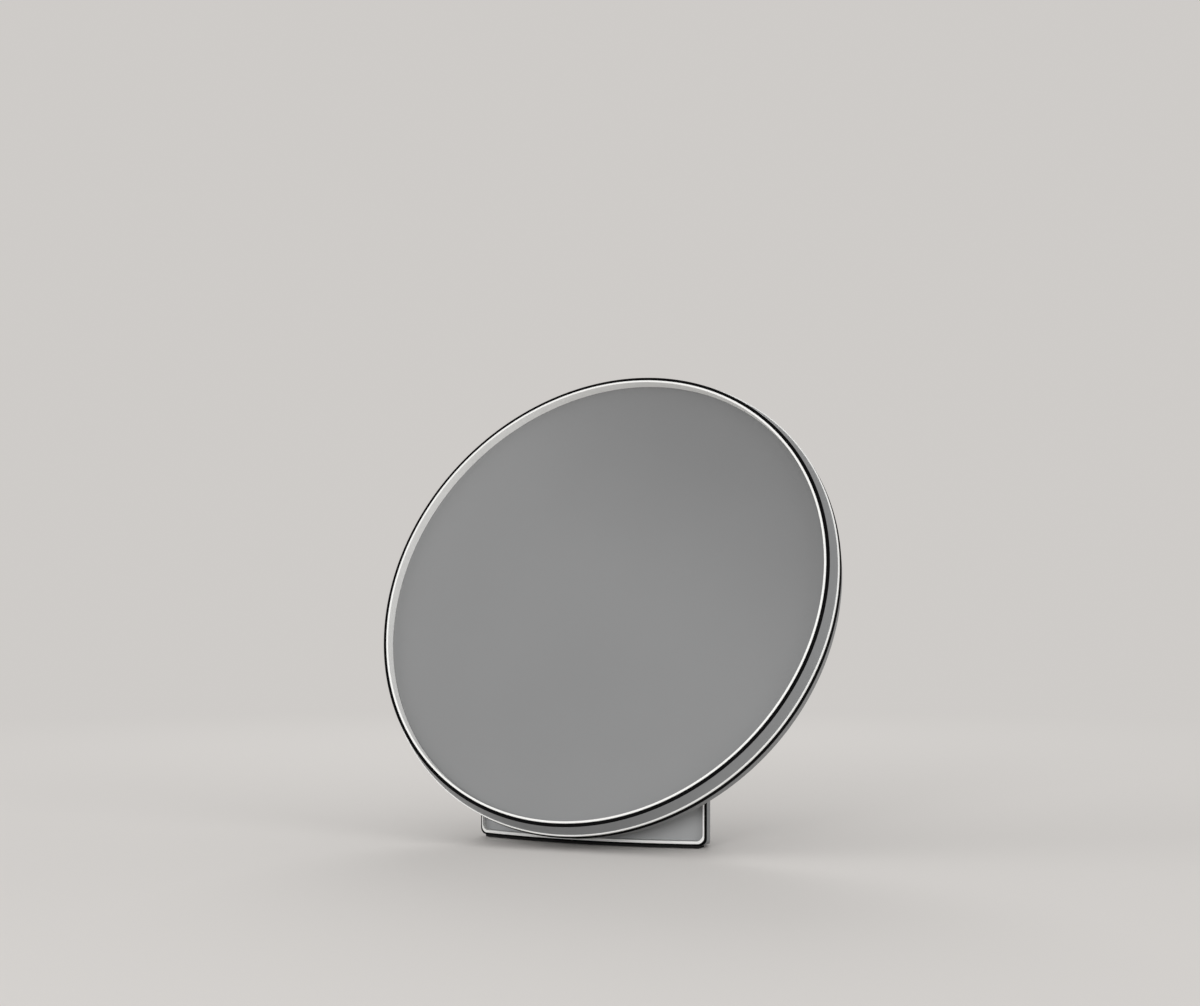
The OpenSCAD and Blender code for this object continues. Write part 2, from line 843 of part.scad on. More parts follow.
// Cheek that stands on the ridge and carries one end of the hinge pin
module hinge_cheek() {
    along_x(cheek_x, cheek_end_x) {
        translate([axis_y, axis_z])
            circle(r = knuckle_r);
        translate([axis_y - knuckle_r, roof_z])
            square([2 * knuckle_r, axis_z - roof_z]);
    }
}

// Posts inside the shell that take the base screws
module base_bosses() {
    intersection() {
        union()
            for (p = base_screw_places)
                translate([p[0], p[1], base_top])
                    cylinder(r = boss_r, h = axis_z - base_top);
        along_x(-half_w, half_w)
            foot_side();
    }
}

// Black ring on the shell's front edge, round the white frame
module foot_seal() {
    color([0.06, 0.06, 0.06])
        difference() {
            front_layer(0, foot_seal_drop, foot_seal_drop + foot_seal_t);
            foot_solid(foot_seal_w);
        }
}

// White frame of the curved front, with a lip round the sunk fascia
module foot_frame() {
    color([0.93, 0.93, 0.92])
        difference() {
            front_layer(foot_seal_w + fit, -eps, frame_t);
            front_layer(fascia_edge, -eps, fascia_back + fit, foot_chin - fit);
        }
}

module foot_fascia() {
    color([0.56, 0.57, 0.58])
        front_layer(fascia_edge + fit, fascia_recess, fascia_back, foot_chin);
}

module base_plate() {
    color([0.20, 0.20, 0.21])
        difference() {
            translate([0, 0, sole_t])
                linear_extrude(base_t)
                    foot_plan(side_wall + loose, front_wall + loose);
            for (p = base_screw_places)
                screw_from_below(p, fit, base_t + eps);
            for (x = ballast_screw_xs)
                screw_from_below([x, ballast_y], fit, base_t + eps);
        }
}

// Countersunk place of a screw that enters upwards from the base plate's underside
module screw_from_below(p, grow, reach) {
    translate([p[0], p[1], sole_t]) {
        cylinder(d = screw_d + 2 * grow, h = reach);
        translate([0, 0, -grow])
            cylinder(d = screw_head_d + 2 * grow, h = screw_head_t + 2 * grow);
    }
}

module ballast_plate() {
    color([0.45, 0.46, 0.48])
        difference() {
            translate([-ballast_w / 2, ballast_y - ballast_d / 2, base_top])
                cube([ballast_w, ballast_d, ballast_t]);
            for (x = ballast_screw_xs)
                translate([x, ballast_y, base_top - eps])
                    cylinder(d = screw_d + 2 * fit, h = ballast_t - tip_room + eps);
        }
}

module rubber_sole() {
    color([0.05, 0.05, 0.05])
        linear_extrude(sole_t)
            foot_plan(corner_r, sole_inset);
}

module base_screws() {
    color([0.30, 0.30, 0.32])
        for (p = base_screw_places)
            screw_from_below(p, 0, base_t + base_grip - tip_room);
}

module ballast_screws() {
    color([0.30, 0.30, 0.32])
        for (x = ballast_screw_xs)
            screw_from_below([x, ballast_y], 0, base_t + ballast_t - 2 * tip_room);
}

module hinge_pin() {
    color([0.75, 0.76, 0.78])
        at_axis()
            x_bar(pin_d / 2, -cheek_end_x + cap_t + loose, cheek_end_x - cap_t - loose);
}

module friction_washers() {
    color([0.82, 0.80, 0.72])
        at_axis()
            for (side = [-1, 1])
                on_side(side)
                    difference() {
                        x_bar(knuckle_r - washer_step, knuckle_w / 2, cheek_x);
                        x_bar(pin_d / 2 + running, knuckle_w / 2 - eps, cheek_x + eps);
                    }
}

module spring_washers() {
    color([0.60, 0.61, 0.63])
        at_axis()
            for (side = [-1, 1])
                on_side(side)
                    difference() {
                        x_bar(nut_w / 2, cheek_end_x - nut_depth, cheek_end_x - nut_depth + 2 * spring_t);
                        x_bar(pin_d / 2 + running, cheek_end_x - nut_depth - eps, cheek_end_x);
                    }
}

module hinge_nut() {
    nut_x = cheek_end_x - nut_depth + 2 * spring_t;
    color([0.70, 0.71, 0.73])
        at_axis()
            for (side = [-1, 1])
                on_side(side)
                    difference() {
                        translate([nut_x, 0, 0])
                            rotate([0, 90, 0])
                                cylinder(d = nut_w * 2 / sqrt(3), h = nut_t, $fn = 6);
                        x_bar(pin_d / 2 + running, nut_x - eps, nut_x + nut_t + eps);
                    }
}

module hinge_caps() {
    color([0.85, 0.85, 0.85])
        at_axis()
            for (side = [-1, 1])
                on_side(side)
                    x_bar(nut_bore_r - fit, cheek_end_x - cap_t, cheek_end_x);
}

diffuser_panel();
front_bezel();
front_seal();
housing_ring();
trim_ring();
rear_seal();
rear_cover();
light_guide();
reflector_sheet();
led_strip();
led_chips();
backing_plate();
plate_screws();
cover_screws_set();
board_posts();
control_board();
board_parts();
board_screws();
inlet_housing();
inlet_pin();
touch_key();
touch_sensor();
sensor_lead();
led_lead();
hinge_bracket();
bracket_screws();
hinge_bushes();
foot_shell();
foot_seal();
foot_frame();
foot_fascia();
base_plate();
ballast_plate();
rubber_sole();
base_screws();
ballast_screws();
hinge_pin();
friction_washers();
spring_washers();
hinge_nut();
hinge_caps();
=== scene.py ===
"""Looks of a round light therapy lamp: an unlit disc that leans back on a hinge over a curved foot."""
import json
import math

import bmesh
import bpy
from mathutils import Matrix, Vector


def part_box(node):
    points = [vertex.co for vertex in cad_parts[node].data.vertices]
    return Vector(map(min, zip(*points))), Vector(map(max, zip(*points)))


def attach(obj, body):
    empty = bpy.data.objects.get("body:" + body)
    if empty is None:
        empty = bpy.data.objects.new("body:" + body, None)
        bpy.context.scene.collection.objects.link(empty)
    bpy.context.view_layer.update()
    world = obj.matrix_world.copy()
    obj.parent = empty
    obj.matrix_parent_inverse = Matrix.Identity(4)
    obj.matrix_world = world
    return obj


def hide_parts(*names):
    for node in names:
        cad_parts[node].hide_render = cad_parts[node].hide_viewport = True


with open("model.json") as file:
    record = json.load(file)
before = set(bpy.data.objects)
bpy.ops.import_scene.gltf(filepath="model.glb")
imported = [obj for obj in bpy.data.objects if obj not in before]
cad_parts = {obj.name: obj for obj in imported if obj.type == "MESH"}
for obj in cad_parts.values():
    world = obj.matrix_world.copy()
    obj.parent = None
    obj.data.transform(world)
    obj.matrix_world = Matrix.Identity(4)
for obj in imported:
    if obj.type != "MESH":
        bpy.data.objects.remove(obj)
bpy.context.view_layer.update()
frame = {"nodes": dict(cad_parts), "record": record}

MM = 0.001
WELD = 0.001 * MM
nodes = frame["nodes"]
record = frame["record"]
slot_of = {row["node"]: row["material_slot"] for row in record["subparts"]}
bodies = record["behaviour"]["bodies"]
body_of = {node: body for body, members in bodies.items() for node in members}

# Directions of the head at rest: right across the face, up the face, out of the face
LEAN = math.radians(23)
RIGHT = Vector((1, 0, 0))
UP_FACE = Vector((0, math.sin(LEAN), math.cos(LEAN)))
FORWARD = Vector((0, -math.cos(LEAN), math.sin(LEAN)))
BACKWARD = -FORWARD

# Decimal places, in metres, by which solids are put in order and lengths count as the same
ORDER_PLACES = 5
SAME_PLACES = 6


def along(node, direction):
    """Lowest and highest place of a node along a direction."""
    places = [vertex.co.dot(direction) for vertex in nodes[node].data.vertices]
    return min(places), max(places)


def centre(node):
    """Middle of a node's box."""
    low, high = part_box(node)
    return (low + high) / 2


def half_size(node):
    """Half the size of a node's box along each axis."""
    low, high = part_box(node)
    return (high - low) / 2


def points_middle(points):
    """Middle of the box round some points."""
    return Vector([(min(p[i] for p in points) + max(p[i] for p in points)) / 2 for i in range(3)])


def across(way):
    """Part of a way that runs square to the head's axis."""
    return way - FORWARD * way.dot(FORWARD)


def radii(points):
    """Distances, small to large, of points from the line through their middle along the head's axis."""
    middle = points_middle(points)
    return sorted({round(across(point - middle).length, SAME_PLACES) for point in points})


def solids(node):
    """Corner points of each separate solid of a node."""
    bm = bmesh.new()
    bm.from_mesh(nodes[node].data)
    bmesh.ops.remove_doubles(bm, verts=bm.verts, dist=WELD)
    left = set(bm.verts)
    found = []
    for start in bm.verts:
        if start not in left:
            continue
        left.remove(start)
        reached = [start]
        for vertex in reached:
            for edge in vertex.link_edges:
                other = edge.other_vert(vertex)
                if other in left:
                    left.remove(other)
                    reached.append(other)
        found.append([vertex.co.copy() for vertex in reached])
    bm.free()
    return sorted(found, key=lambda points: tuple(round(c, ORDER_PLACES) for c in points_middle(points)))


def ring_middle(node):
    """Middle of a plain ring, from its evenly spread corners."""
    corners = solids(node)[0]
    return sum(corners, Vector()) / len(corners)


HEAD_MIDDLE = ring_middle("front_seal")
RIM_CENTRE = HEAD_MIDDLE + FORWARD * (along("front_bezel", FORWARD)[1] - HEAD_MIDDLE.dot(FORWARD))

# Image that the camera matches, in pixels
IMAGE_W, IMAGE_H = 1200, 1006
RIM_CENTRE_PX = (597, 593)
FOCAL_PX = 2147
SENSOR_MM = 36

# Camera stand: it looks level at the middle of the rim, from the right of the face
CAMERA_AZIMUTH = 26.2
CAMERA_DISTANCE = 0.973
CAMERA_NEAR = 0.01
LEVEL = math.radians(90)


def add_camera():
    """Level camera, shifted so that the rim's middle falls on its pixel."""
    data = bpy.data.cameras.new("camera")
    data.sensor_width = SENSOR_MM
    data.lens = FOCAL_PX / IMAGE_W * SENSOR_MM
    data.shift_x = (IMAGE_W / 2 - RIM_CENTRE_PX[0]) / IMAGE_W
    data.shift_y = (RIM_CENTRE_PX[1] - IMAGE_H / 2) / IMAGE_W
    data.clip_start = CAMERA_NEAR
    camera = bpy.data.objects.new("camera", data)
    turn = math.radians(CAMERA_AZIMUTH)
    camera.location = RIM_CENTRE + CAMERA_DISTANCE * Vector((math.sin(turn), -math.cos(turn), 0))
    camera.rotation_euler = (LEVEL, 0, turn)
    bpy.context.scene.collection.objects.link(camera)
    bpy.context.scene.camera = camera


# Soft lamps: place, side of the square and watts
LAMPS = {
    "key": ((0.5, -1.6, 0.75), 1.2, 4.5),
    "low": ((0.15, -1.9, 0.35), 0.5, 10),
    "right": ((1.7, -0.5, 0.5), 1.0, 6.5),
    "left": ((-1.5, -1.0, 0.7), 1.2, 4),
    "back": ((-0.8, 1.6, 1.1), 0.9, 12),
}


def add_area(name, place, size, watts):
    """Soft square lamp that faces the middle of the rim."""
    data = bpy.data.lights.new(name, "AREA")
    data.size = size
    data.energy = watts
    lamp = bpy.data.objects.new(name, data)
    lamp.location = place
    lamp.rotation_euler = (RIM_CENTRE - Vector(place)).to_track_quat("-Z", "Y").to_euler()
    lamp.visible_camera = False
    bpy.context.scene.collection.objects.link(lamp)


BACKDROP = (0.62, 0.60, 0.58, 1)
AMBIENT = 0.8


def set_world():
    """Even ambient light, with the pale backdrop for what the camera, gloss and glass see."""
    world = bpy.data.worlds.new("studio")
    world.use_nodes = True
    tree = world.node_tree
    tree.nodes.clear()
    out = tree.nodes.new("ShaderNodeOutputWorld")
    light = tree.nodes.new("ShaderNodeBackground")
    light.inputs["Strength"].default_value = AMBIENT
    seen = tree.nodes.new("ShaderNodeBackground")
    seen.inputs["Color"].default_value = BACKDROP
    path = tree.nodes.new("ShaderNodeLightPath")
    either = tree.nodes.new("ShaderNodeMath")
    either.operation = "MAXIMUM"
    any_of = tree.nodes.new("ShaderNodeMath")
    any_of.operation = "MAXIMUM"
    mix = tree.nodes.new("ShaderNodeMixShader")
    tree.links.new(path.outputs["Is Camera Ray"], either.inputs[0])
    tree.links.new(path.outputs["Is Glossy Ray"], either.inputs[1])
    tree.links.new(either.outputs[0], any_of.inputs[0])
    tree.links.new(path.outputs["Is Transmission Ray"], any_of.inputs[1])
    tree.links.new(any_of.outputs[0], mix.inputs["Fac"])
    tree.links.new(light.outputs[0], mix.inputs[1])
    tree.links.new(seen.outputs[0], mix.inputs[2])
    tree.links.new(mix.outputs[0], out.inputs["Surface"])
    bpy.context.scene.world = world


# Floor: a wide disc just under the sole, which fades between two distances from its middle
FLOOR_COLOUR = (0.67, 0.648, 0.626, 1)
FLOOR_RADIUS = 8.0
FLOOR_STEPS = 96
FLOOR_DROP = 0.3 * MM
FLOOR_FADE = (0.3, 1.1)


def add_floor():
    """Pale table top that fades into the backdrop's own colour away from the lamp."""
    bm = bmesh.new()
    bmesh.ops.create_circle(bm, cap_ends=True, radius=FLOOR_RADIUS, segments=FLOOR_STEPS)
    mesh = bpy.data.meshes.new("floor")
    bm.to_mesh(mesh)
    bm.free()
    floor = bpy.data.objects.new("floor", mesh)
    floor.location.z = -FLOOR_DROP
    bpy.context.scene.collection.objects.link(floor)
    material = bpy.data.materials.new("floor")
    material.use_nodes = True
    tree = material.node_tree
    tree.nodes.clear()
    out = tree.nodes.new("ShaderNodeOutputMaterial")
    near = tree.nodes.new("ShaderNodeBsdfDiffuse")
    near.inputs["Color"].default_value = FLOOR_COLOUR
    far = tree.nodes.new("ShaderNodeEmission")
    far.inputs["Color"].default_value = BACKDROP
    mix = tree.nodes.new("ShaderNodeMixShader")
    where = tree.nodes.new("ShaderNodeTexCoord")
    length = tree.nodes.new("ShaderNodeVectorMath")
    length.operation = "LENGTH"
    fade = tree.nodes.new("ShaderNodeMapRange")
    fade.interpolation_type = "SMOOTHSTEP"
    fade.inputs["From Min"].default_value = FLOOR_FADE[0]
    fade.inputs["From Max"].default_value = FLOOR_FADE[1]
    tree.links.new(where.outputs["Object"], length.inputs[0])
    tree.links.new(length.outputs["Value"], fade.inputs["Value"])
    tree.links.new(fade.outputs["Result"], mix.inputs["Fac"])
    tree.links.new(near.outputs[0], mix.inputs[1])
    tree.links.new(far.outputs[0], mix.inputs[2])
    tree.links.new(mix.outputs[0], out.inputs["Surface"])
    mesh.materials.append(material)


# Finishes: octaves of the drift and the grain, the drift's span on its ramp and the grain's height
DRIFT_DETAIL = 4
GRAIN_DETAIL = 2
DRIFT_SPAN = (0.3, 0.7)
GRAIN_HEIGHT = 0.2 * MM


def finish_material(name, colour, vary=0.06, rough=(0.4, 0.55), metal=0.0, grain=900, bump=0.05, coat=0.0,
                    mottle=35, stretch=(1, 1, 1), specular=0.5):
    """Moulded, coated or metal finish: a colour that drifts a little, patchy roughness and a fine grain."""
    material = bpy.data.materials.new(name)
    material.use_nodes = True
    tree = material.node_tree
    shader = tree.nodes["Principled BSDF"]
    shader.inputs["Metallic"].default_value = metal
    shader.inputs["Coat Weight"].default_value = coat
    shader.inputs["Specular IOR Level"].default_value = specular
    where = tree.nodes.new("ShaderNodeTexCoord")
    scale = tree.nodes.new("ShaderNodeMapping")
    scale.inputs["Scale"].default_value = stretch
    tree.links.new(where.outputs["Object"], scale.inputs["Vector"])

    drift = tree.nodes.new("ShaderNodeTexNoise")
    drift.inputs["Scale"].default_value = mottle
    drift.inputs["Detail"].default_value = DRIFT_DETAIL
    tree.links.new(scale.outputs["Vector"], drift.inputs["Vector"])
    ramp = tree.nodes.new("ShaderNodeValToRGB")
    dark, light = ramp.color_ramp.elements
    dark.position, light.position = DRIFT_SPAN
    dark.color = [c * (1 - vary) for c in colour] + [1]
    light.color = [min(1, c * (1 + vary)) for c in colour] + [1]
    tree.links.new(drift.outputs["Fac"], ramp.inputs["Fac"])
    tree.links.new(ramp.outputs["Color"], shader.inputs["Base Color"])

    patch = tree.nodes.new("ShaderNodeMapRange")
    patch.inputs["To Min"].default_value = rough[0]
    patch.inputs["To Max"].default_value = rough[1]
    tree.links.new(drift.outputs["Fac"], patch.inputs["Value"])
    tree.links.new(patch.outputs["Result"], shader.inputs["Roughness"])

    fine = tree.nodes.new("ShaderNodeTexNoise")
    fine.inputs["Scale"].default_value = grain
    fine.inputs["Detail"].default_value = GRAIN_DETAIL
    tree.links.new(scale.outputs["Vector"], fine.inputs["Vector"])
    relief = tree.nodes.new("ShaderNodeBump")
    relief.inputs["Strength"].default_value = bump
    relief.inputs["Distance"].default_value = GRAIN_HEIGHT
    tree.links.new(fine.outputs["Fac"], relief.inputs["Height"])
    tree.links.new(relief.outputs["Normal"], shader.inputs["Normal"])
    return material


FINISHES = {
    "diffuser": dict(colour=(0.226, 0.2285, 0.2305), vary=0.03, rough=(0.5, 0.6), grain=2200, bump=0.03,
                     mottle=9, specular=0.3),
    "white_shell": dict(colour=(0.85, 0.85, 0.835), vary=0.02, rough=(0.38, 0.5)),
    "black_seal": dict(colour=(0.003, 0.003, 0.0033), vary=0.2, rough=(0.85, 0.95), grain=1500,
                       specular=0.04),
    "grey_shell": dict(colour=(0.214, 0.219, 0.224), vary=0.03, rough=(0.42, 0.56), grain=1400, bump=0.12),
    # Painted light: grey_fascia is lifted above the face's grey to offset the shade that the head casts on
    # the foot's front; the key's ring and dot share it
    "grey_fascia": dict(colour=(0.32, 0.326, 0.331), vary=0.03, rough=(0.42, 0.55)),
    "clear_acrylic": dict(colour=(0.75, 0.82, 0.84), vary=0.02, rough=(0.05, 0.1), bump=0),
    "white_sheet": dict(colour=(0.88, 0.88, 0.88), vary=0.02, rough=(0.7, 0.8)),
    "flex_strip": dict(colour=(0.55, 0.28, 0.06), vary=0.1, rough=(0.35, 0.5)),
    "led": dict(colour=(0.82, 0.68, 0.22), vary=0.06, rough=(0.15, 0.25), coat=0.4),
    "aluminium_plate": dict(colour=(0.66, 0.67, 0.68), vary=0.06, rough=(0.3, 0.45), metal=1.0,
                            stretch=(1, 14, 14)),
    "screw_steel": dict(colour=(0.42, 0.43, 0.45), vary=0.1, rough=(0.28, 0.42), metal=1.0),
    "circuit_board": dict(colour=(0.02, 0.16, 0.08), vary=0.15, rough=(0.3, 0.45)),
    "board_black": dict(colour=(0.02, 0.02, 0.021), vary=0.2, rough=(0.4, 0.55)),
    "contact": dict(colour=(0.66, 0.47, 0.20), vary=0.08, rough=(0.2, 0.32), metal=1.0),
    "touch_lens": dict(colour=(0.70, 0.70, 0.70), vary=0.02, rough=(0.12, 0.2), bump=0.01, coat=0.5),
    "bracket_metal": dict(colour=(0.19, 0.196, 0.203), vary=0.08, rough=(0.45, 0.6), grain=1600, bump=0.15),
    "bush_brass": dict(colour=(0.58, 0.40, 0.16), vary=0.08, rough=(0.25, 0.4), metal=1.0),
    "black_base": dict(colour=(0.02, 0.02, 0.021), vary=0.15, rough=(0.5, 0.65)),
    "ballast_steel": dict(colour=(0.34, 0.35, 0.37), vary=0.1, rough=(0.4, 0.55), metal=1.0),
    "sole_rubber": dict(colour=(0.006, 0.006, 0.006), vary=0.2, rough=(0.75, 0.9), grain=700, bump=0.2,
                        specular=0.2),
    "washer_plastic": dict(colour=(0.68, 0.64, 0.52), vary=0.04, rough=(0.4, 0.5)),
}
materials = {slot: finish_material(slot, **finish) for slot, finish in FINISHES.items()}

# Painted shade on the face: its tone at the edge, towards the upper right, where the colour is darkened to
# stand in for shade
PAINTED_SHADE_TONE = 0.8
PAINTED_SHADE_SLANT = (0.6, 0.8)


def add_painted_corner_shade(material):
    """Paints shade into the face's colour: it grows a little darker from its middle to its upper right edge.
    """
    tree = material.node_tree
    base = tree.nodes["Principled BSDF"].inputs["Base Color"]
    colour = base.links[0].from_socket
    where = tree.nodes.new("ShaderNodeTexCoord")
    slant = RIGHT * PAINTED_SHADE_SLANT[0] + UP_FACE * PAINTED_SHADE_SLANT[1]
    reach = tree.nodes.new("ShaderNodeVectorMath")
    reach.operation = "DOT_PRODUCT"
    reach.inputs[1].default_value = slant
    tree.links.new(where.outputs["Object"], reach.inputs[0])
    # Painted shade: scales the face's colour down towards its upper right edge
    painted_shade_ramp = tree.nodes.new("ShaderNodeMapRange")
    painted_shade_ramp.interpolation_type = "SMOOTHSTEP"
    painted_shade_ramp.inputs["From Min"].default_value = RIM_CENTRE.dot(slant)
    painted_shade_ramp.inputs["From Max"].default_value = RIM_CENTRE.dot(slant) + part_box("diffuser_panel")[1].x
    painted_shade_ramp.inputs["To Min"].default_value = 1
    painted_shade_ramp.inputs["To Max"].default_value = PAINTED_SHADE_TONE
    tree.links.new(reach.outputs["Value"], painted_shade_ramp.inputs["Value"])
    shade = tree.nodes.new("ShaderNodeVectorMath")
    shade.operation = "SCALE"
    tree.links.new(colour, shade.inputs[0])
    tree.links.new(painted_shade_ramp.outputs["Result"], shade.inputs["Scale"])
    tree.links.new(shade.outputs["Vector"], base)


def dress_nodes():
    """Gives every CAD node the finish of its slot."""
    for name, obj in nodes.items():
        obj.data.materials.clear()
        obj.data.materials.append(materials[slot_of[name]])


def add_piece(name, mesh, slot, body, *stands_for):
    """Links a smooth-shaded piece with its finish, its body and the CAD nodes it stands for."""
    mesh.materials.clear()
    mesh.materials.append(materials[slot])
    mesh.shade_smooth()
    piece = bpy.data.objects.new(name, mesh)
    bpy.context.scene.collection.objects.link(piece)
    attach(piece, body)
    if stands_for:
        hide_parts(*stands_for)
    return piece


# Circles of the head that get shorter chords
RING_MIN = 90 * MM
RING_SLACK = 0.002 * MM
CHORD_MAX = 12 * MM
RING_CUTS = 2


def from_axis(point):
    """Way from the head's axis to a point, square to the axis."""
    return across(point - RIM_CENTRE)


def is_chord(edge):
    """Whether an edge joins two points of one large circle of the head."""
    a, b = (vertex.co for vertex in edge.verts)
    reach = from_axis(a).length
    return (reach > RING_MIN and abs(reach - from_axis(b).length) < RING_SLACK and
            abs((a - b).dot(FORWARD)) < RING_SLACK and edge.calc_length() < CHORD_MAX)


def finer_rings(bm):
    """Cuts the chords of the head's large circles into shorter ones whose ends lie on the circle."""
    reach = bm.verts.layers.float.new("reach")
    for vertex in bm.verts:
        vertex[reach] = from_axis(vertex.co).length
    bmesh.ops.subdivide_edges(bm, edges=[edge for edge in bm.edges if is_chord(edge)], cuts=RING_CUTS)
    for vertex in bm.verts:
        out = from_axis(vertex.co)
        if out.length > RING_MIN:
            vertex.co += out * (vertex[reach] / out.length - 1)
    bm.verts.layers.float.remove(reach)


# Edges below the first angle vanish into a flat, and edges above the second are rounded in some steps
FLAT = math.radians(0.4)
EDGE_ANGLE = math.radians(28)
EDGE_STEPS = 3
FINE_STEPS = 2
CHAMFER_STEPS = 1


def clean_copy(node):
    """Copy of a CAD node's mesh, welded, with its flat faces whole and its large circles smooth."""
    bm = bmesh.new()
    bm.from_mesh(nodes[node].data)
    bmesh.ops.remove_doubles(bm, verts=bm.verts, dist=WELD)
    bmesh.ops.dissolve_limit(bm, angle_limit=FLAT, verts=bm.verts, edges=bm.edges)
    if body_of[node] == "head":
        finer_rings(bm)
    mesh = bpy.data.meshes.new(node + "_soft")
    bm.to_mesh(mesh)
    bm.free()
    if "custom_normal" in mesh.attributes:
        mesh.attributes.remove(mesh.attributes["custom_normal"])
    return mesh


def round_edges(piece, width, steps=EDGE_STEPS):
    """Rounds a piece's edges and keeps its flats looking flat."""
    bevel = piece.modifiers.new("edges", "BEVEL")
    bevel.width = width
    bevel.segments = steps
    bevel.limit_method = "ANGLE"
    bevel.angle_limit = EDGE_ANGLE
    weld = piece.modifiers.new("weld", "WELD")
    weld.merge_threshold = WELD
    normals = piece.modifiers.new("normals", "WEIGHTED_NORMAL")
    normals.keep_sharp = True


# Widest round of each softened node
EDGES = {
    "front_bezel": 0.1 * MM, "front_seal": 0.12 * MM, "housing_ring": 0.15 * MM, "trim_ring": 0.15 * MM,
    "rear_seal": 0.15 * MM, "rear_cover": 0.3 * MM, "foot_seal": 0.2 * MM, "foot_frame": 0.2 * MM,
    "foot_fascia": 0.2 * MM, "hinge_bracket": 0.4 * MM, "hinge_caps": 0.35 * MM, "friction_washers": 0.2 * MM,
}


def soften(node, width):
    """Stands a copy of a CAD node with rounded edges in its place."""
    round_edges(add_piece(node + "_soft", clean_copy(node), slot_of[node], body_of[node], node), width)


# Foot shell: the full round, the share of it for crease and hinge cheeks, and the fine round elsewhere
OUTER_ROUND = 2 * MM
OUTER_STEPS = 6
SMALL_SHARE = 0.2
FOOT_EDGE = 0.5 * MM

# Least rise of a normal on its top and slope, the greatest on its walls, and the room round its caps
UPWARD = 0.8
UPRIGHT = 0.05
CAP_MARGIN = 1.1


def round_share(edge, front, top, pin, cap):
    """Share of the full round that an edge of the foot shell gets; its front and its insides get none."""
    a, b = (vertex.co for vertex in edge.verts)
    if min(a.y, b.y) < front or not edge.is_convex or edge.calc_face_angle() < EDGE_ANGLE:
        return 0
    if max(a.z, b.z) < top + RING_SLACK:
        low, high = sorted(face.normal.z for face in edge.link_faces)
        if high < UPWARD or UPRIGHT < abs(low) < UPWARD:
            return 0
        return 1 if abs(low) < UPRIGHT else SMALL_SHARE
    off = (a + b) / 2 - pin
    return SMALL_SHARE if off.yz.length > CAP_MARGIN * cap else 0


def soften_foot():
    """Foot shell with well rounded edges along its top and slope, and finer ones elsewhere."""
    mesh = clean_copy("foot_shell")
    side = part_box("foot_fascia")[1].x
    top = max(vertex.co.z for vertex in mesh.vertices if abs(vertex.co.x) > side)
    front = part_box("foot_seal")[1].y
    pin = centre("hinge_pin")
    cap = half_size("hinge_caps").z
    bm = bmesh.new()
    bm.from_mesh(mesh)
    weight = bm.edges.layers.float.new("bevel_weight_edge")
    for edge in bm.edges:
        edge[weight] = round_share(edge, front, top, pin, cap)
    bm.to_mesh(mesh)
    bm.free()
    piece = add_piece("foot_shell_soft", mesh, slot_of["foot_shell"], body_of["foot_shell"], "foot_shell")
    bevel = piece.modifiers.new("outer", "BEVEL")
    bevel.limit_method = "WEIGHT"
    bevel.width = OUTER_ROUND
    bevel.segments = OUTER_STEPS
    round_edges(piece, FOOT_EDGE)


def rear_frame(spot, height):
    """Frame on the line through a spot along the head's axis, at a height on it, with Z out of the back."""
    origin = spot + BACKWARD * (height - spot.dot(BACKWARD))
    axes = Matrix((RIGHT, BACKWARD.cross(RIGHT), BACKWARD)).transposed()
    return Matrix.Translation(origin) @ axes.to_4x4()


TURN_STEPS = 64
ARC_STEPS = 6


def turned(name, profile, steps=TURN_STEPS, ring=False):
    """Mesh turned round Z from (radius, height) points, which end on the axis or join up into a ring."""
    bm = bmesh.new()
    rings = []
    for radius, height in profile:
        count = steps if radius > 0 else 1
        turns = [math.tau * i / count for i in range(count)]
        rings.append([bm.verts.new((radius * math.cos(t), radius * math.sin(t), height)) for t in turns])
    if ring:
        rings.append(rings[0])
    for low, high in zip(rings, rings[1:]):
        for i in range(steps):
            j = i + 1
            corners = [low[i % len(low)], low[j % len(low)], high[j % len(high)], high[i % len(high)]]
            bm.faces.new(list(dict.fromkeys(corners)))
    bmesh.ops.recalc_face_normals(bm, faces=bm.faces)
    mesh = bpy.data.meshes.new(name)
    bm.to_mesh(mesh)
    bm.free()
    return mesh


def quarter_arc(radius, height, width, rise):
    """Profile points of a quarter arc from a turned side of some radius up to a top at some height."""
    turns = [math.pi / 2 * i / ARC_STEPS for i in range(ARC_STEPS + 1)]
    return [(radius - width + width * math.cos(t), height - rise + rise * math.sin(t)) for t in turns]


def add_turned(name, profile, place, slot, *stands_for, steps=TURN_STEPS, ring=False):
    """Turned piece of the head, set at a frame."""
    mesh = turned(name, profile, steps, ring)
    mesh.transform(place)
    return add_piece(name, mesh, slot, "head", *stands_for)


def boxes(name, corners):
    """Mesh of upright boxes given by their lowest and highest corners."""
    bm = bmesh.new()
    for low, high in corners:
        made = bmesh.ops.create_cube(bm, size=1)["verts"]
        size = Vector(high) - Vector(low)
        bmesh.ops.scale(bm, vec=size, verts=made)
        bmesh.ops.translate(bm, vec=Vector(low) + size / 2, verts=made)
    mesh = bpy.data.meshes.new(name)
    bm.to_mesh(mesh)
    bm.free()
    return mesh


